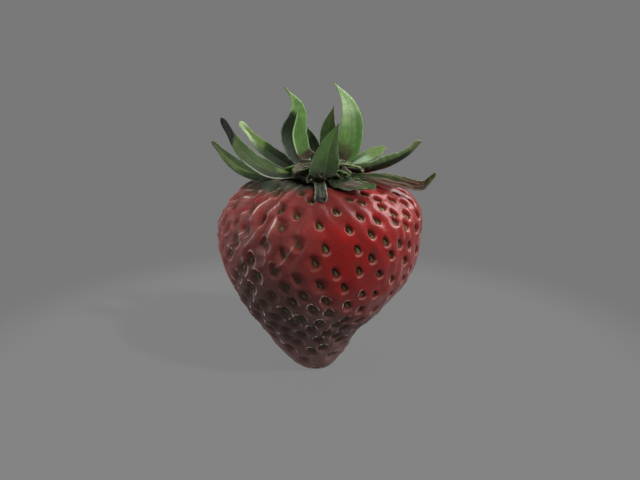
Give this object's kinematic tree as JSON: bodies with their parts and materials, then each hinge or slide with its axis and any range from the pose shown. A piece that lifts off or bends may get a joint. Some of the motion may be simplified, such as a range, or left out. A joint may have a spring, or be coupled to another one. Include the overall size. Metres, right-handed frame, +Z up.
{
  "type": "strawberry",
  "caption": "Ripe strawberry with a spreading leafy cap, standing on a small flat spot at its tip; whole fruit for food displays and still-life scenes.",
  "frame": {"origin": "middle of the small flat spot at the tip, on the surface that the berry stands on", "axes": "+Z up from the tip to the leafy cap, along the berry's longest extent; -Y is its front and +X its right side seen from the front"},
  "size_m": [0.0424, 0.0383, 0.0566],
  "materials": {
    "flesh": "glossy wet-looking red skin with sunken seeds",
    "leaf": "matte green leaf, paler inside",
    "dried_leaf": "dry brown leaf",
    "stalk": "matte pale green, torn end"
  },
  "bodies": {
    "root": {"flesh": "flesh", "calyx_disc": "leaf", "stalk_stub": "stalk", "sepal_left_low": "leaf", "sepal_left_broad": "leaf", "sepal_back_left": "leaf", "sepal_curled": "leaf", "sepal_back": "leaf", "sepal_back_small": "leaf", "sepal_tall": "leaf", "sepal_back_right": "leaf", "sepal_right_long": "leaf", "sepal_right_dried": "dried_leaf", "sepal_front_right": "leaf", "sepal_front_stub": "leaf", "sepal_front_keeled": "leaf"}
  },
  "joints": []
}
